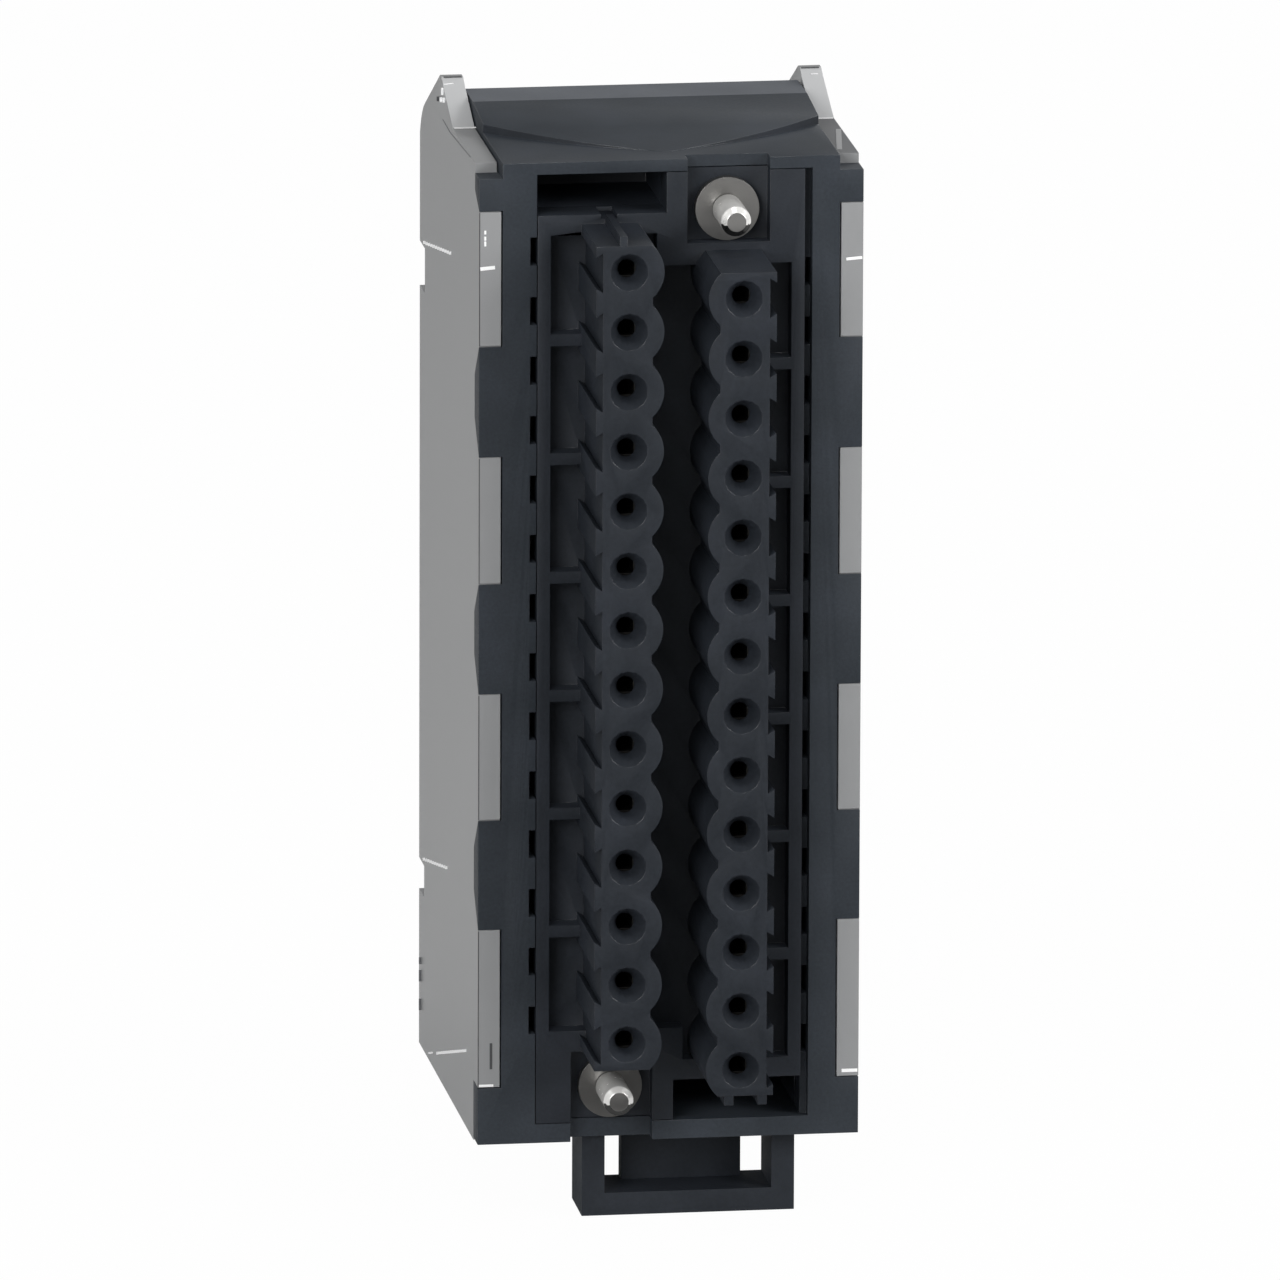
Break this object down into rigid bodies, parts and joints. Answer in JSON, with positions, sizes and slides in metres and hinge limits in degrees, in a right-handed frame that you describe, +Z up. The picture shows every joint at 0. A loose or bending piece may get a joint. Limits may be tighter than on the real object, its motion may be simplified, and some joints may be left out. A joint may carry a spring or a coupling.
{
  "type": "removable spring terminal block",
  "caption": "Slim two-row plug-in terminal block with spring clamps, two captive fixing screws, a clear hinged wiring cover and a cable tie loop.",
  "frame": {"origin": "middle of the field of sockets on the mating plane, 0.3 mm above the point midway between the two fixing screws", "axes": "+Z up along the two rows of sockets, +Y from the mating side to the wiring side, +X to the right seen from the mating side"},
  "size_m": [0.0318, 0.0457, 0.0923],
  "materials": {
    "housing": "fine moulded grain, glass-filled plastic",
    "clear_cover": "smoky clear, polished",
    "screw_steel": "bright nickel plate",
    "washer_steel": "dull nickel plate",
    "contact_metal": "tin plate",
    "spring_steel": "bright strip"
  },
  "bodies": {
    "base": {"outer_housing": "housing", "contact_carrier": "housing", "terminal_front": "housing", "cover_frame": "clear_cover", "retaining_washers": "washer_steel", "contact_left_01": "contact_metal", "contact_left_02": "contact_metal", "contact_left_03": "contact_metal", "contact_left_04": "contact_metal", "contact_left_05": "contact_metal", "contact_left_06": "contact_metal", "contact_left_07": "contact_metal", "contact_left_08": "contact_metal", "contact_left_09": "contact_metal", "contact_left_10": "contact_metal", "contact_left_11": "contact_metal", "contact_left_12": "contact_metal", "contact_left_13": "contact_metal", "contact_left_14": "contact_metal", "contact_right_01": "contact_metal", "contact_right_02": "contact_metal", "contact_right_03": "contact_metal", "contact_right_04": "contact_metal", "contact_right_05": "contact_metal", "contact_right_06": "contact_metal", "contact_right_07": "contact_metal", "contact_right_08": "contact_metal", "contact_right_09": "contact_metal", "contact_right_10": "contact_metal", "contact_right_11": "contact_metal", "contact_right_12": "contact_metal", "contact_right_13": "contact_metal", "contact_right_14": "contact_metal", "clamp_springs_01": "spring_steel", "clamp_springs_02": "spring_steel", "clamp_springs_03": "spring_steel", "clamp_springs_04": "spring_steel", "clamp_springs_05": "spring_steel", "clamp_springs_06": "spring_steel", "clamp_springs_07": "spring_steel", "clamp_springs_08": "spring_steel", "clamp_springs_09": "spring_steel", "clamp_springs_10": "spring_steel", "clamp_springs_11": "spring_steel", "clamp_springs_12": "spring_steel", "clamp_springs_13": "spring_steel", "clamp_springs_14": "spring_steel"},
    "door": {"door": "clear_cover"},
    "screw_upper": {"screw_upper": "screw_steel"},
    "screw_lower": {"screw_lower": "screw_steel"}
  },
  "joints": [
    {"name": "door_hinge", "type": "hinge", "parent": "base", "child": "door", "pos_m": [-0.0129, 0.0359, 0], "axis": [0, 0, 1], "range_deg": [0, 100]},
    {"name": "screw_upper_turn", "type": "hinge", "parent": "base", "child": "screw_upper", "pos_m": [0.00473, 0, 0.03672], "axis": [0, 1, 0], "continuous": true},
    {"name": "screw_lower_turn", "type": "hinge", "parent": "base", "child": "screw_lower", "pos_m": [-0.00473, 0, -0.03728], "axis": [0, 1, 0], "continuous": true}
  ]
}
